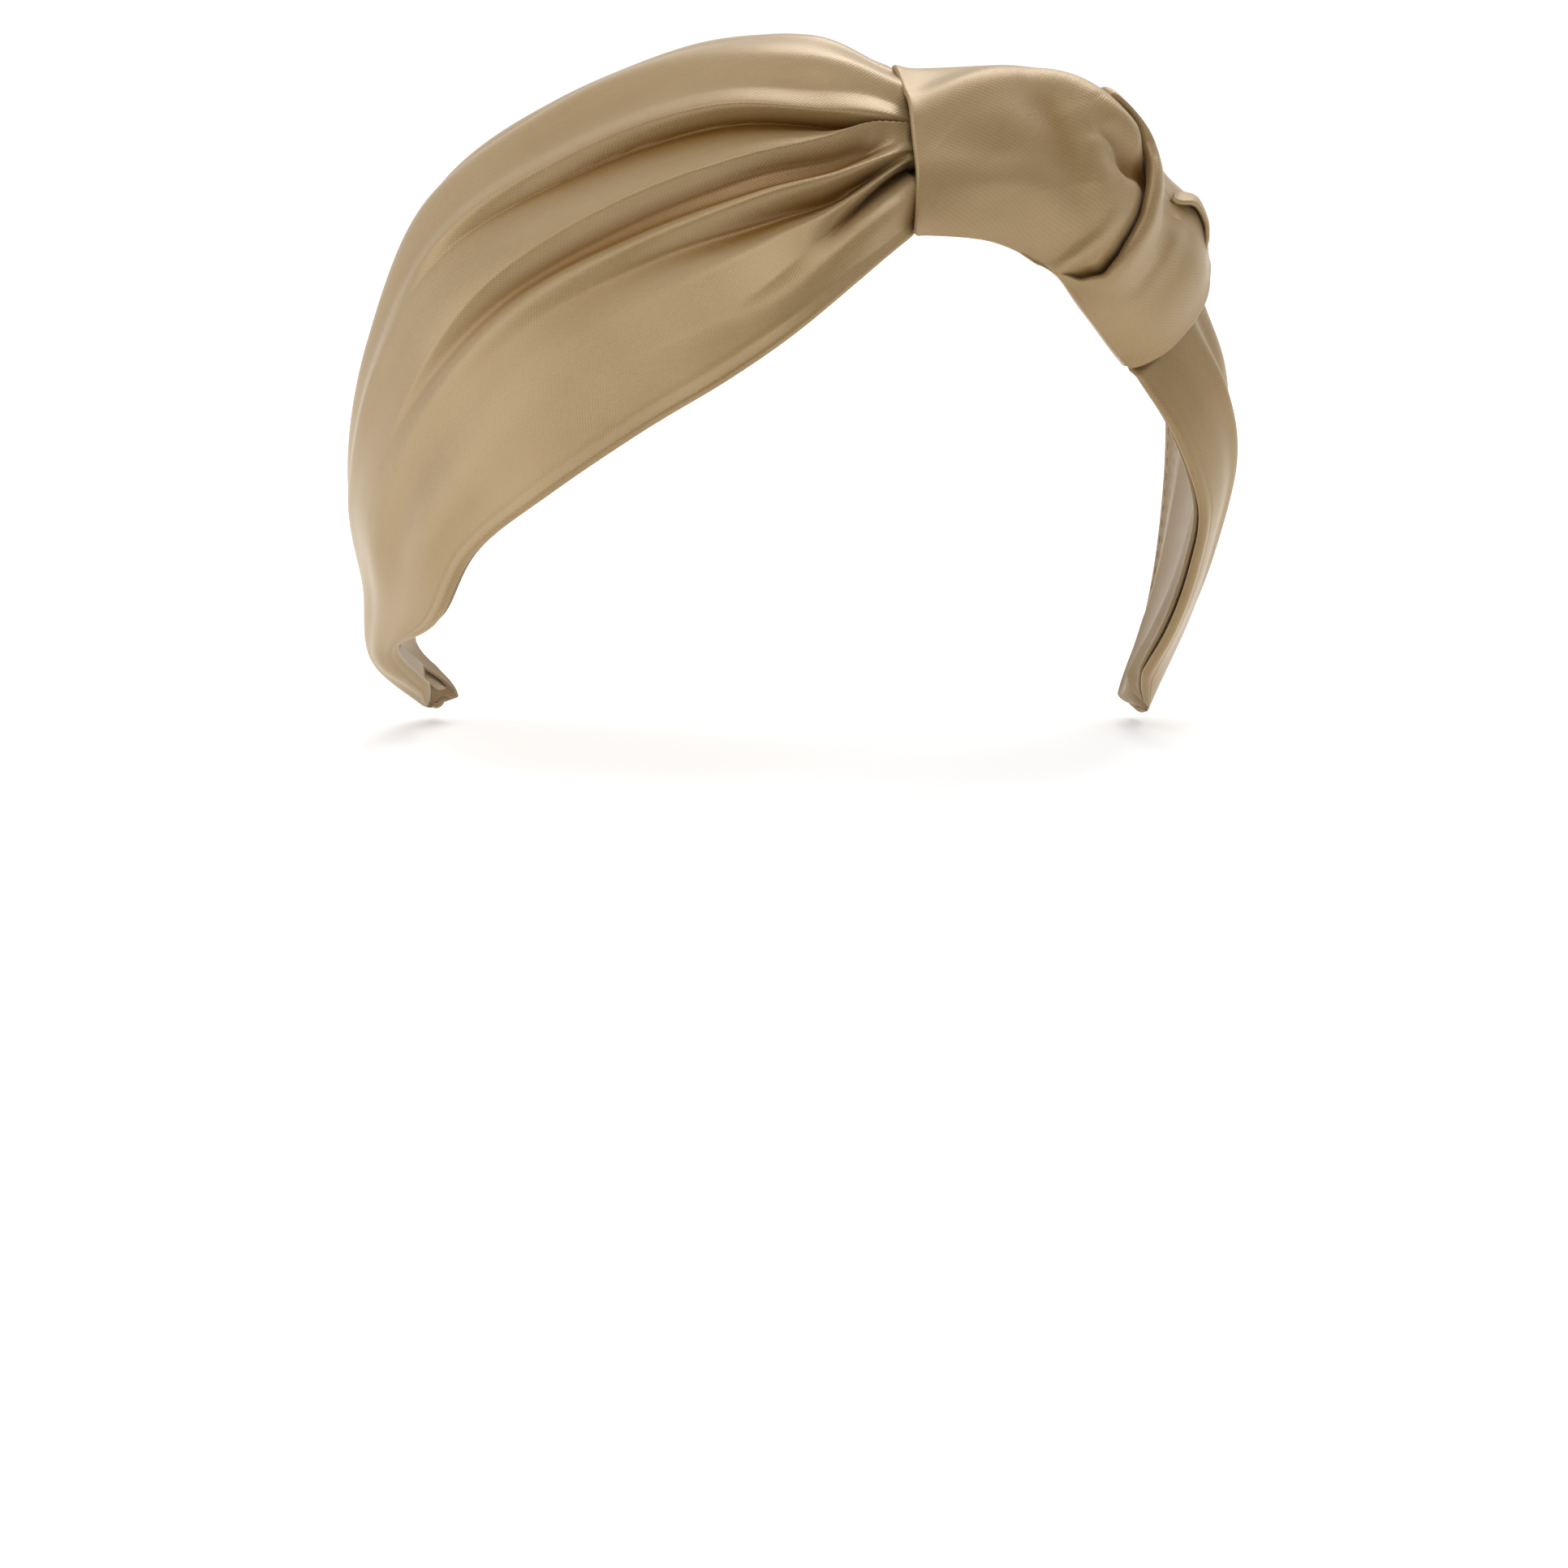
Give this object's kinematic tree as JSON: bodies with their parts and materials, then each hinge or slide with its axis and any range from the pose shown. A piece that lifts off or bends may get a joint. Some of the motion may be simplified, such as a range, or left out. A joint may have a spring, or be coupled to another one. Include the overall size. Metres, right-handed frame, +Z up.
{
  "type": "knotted headband",
  "caption": "Springy hard headband covered in satin, with a wide pleated wing, an off-centre knot and a narrow folded leg.",
  "frame": {"origin": "the point of the lining's inner face that rests on the crown of the wearer's head, on the head's mid-plane", "axes": "+Z up, the wearer faces -Y, +X towards the knot, which is on the wearer's left"},
  "size_m": [0.1738, 0.1163, 0.1385],
  "materials": {
    "outer_satin": "champagne gold satin",
    "lining_satin": "champagne gold satin facing",
    "foam": "matt wadding",
    "core_plastic": "beige moulded strip"
  },
  "bodies": {
    "wing": {"wing_cover": "outer_satin", "wing_wadding": "foam", "wing_core": "core_plastic", "wing_lining": "lining_satin"},
    "knot": {"knot_front_wrap": "outer_satin", "knot_collar_wrap": "outer_satin", "knot_tail_fold": "outer_satin", "knot_filling": "lining_satin", "knot_core": "core_plastic"},
    "leg": {"leg_cover": "outer_satin", "leg_wadding": "foam", "leg_core": "core_plastic", "leg_lining": "lining_satin"}
  },
  "joints": [
    {"name": "wing_flex", "type": "hinge", "parent": "wing", "child": "knot", "pos_m": [0.0225, -0.015, -0.01], "axis": [0.0936, -0.7837, -0.614], "range_deg": [-7, 6], "stiffness_Nm_per_rad": 2.5},
    {"name": "leg_flex", "type": "hinge", "parent": "knot", "child": "leg", "pos_m": [0.0773, 0.032, -0.0447], "axis": [-0.1322, -0.9583, -0.2533], "range_deg": [-7, 6], "stiffness_Nm_per_rad": 2}
  ]
}
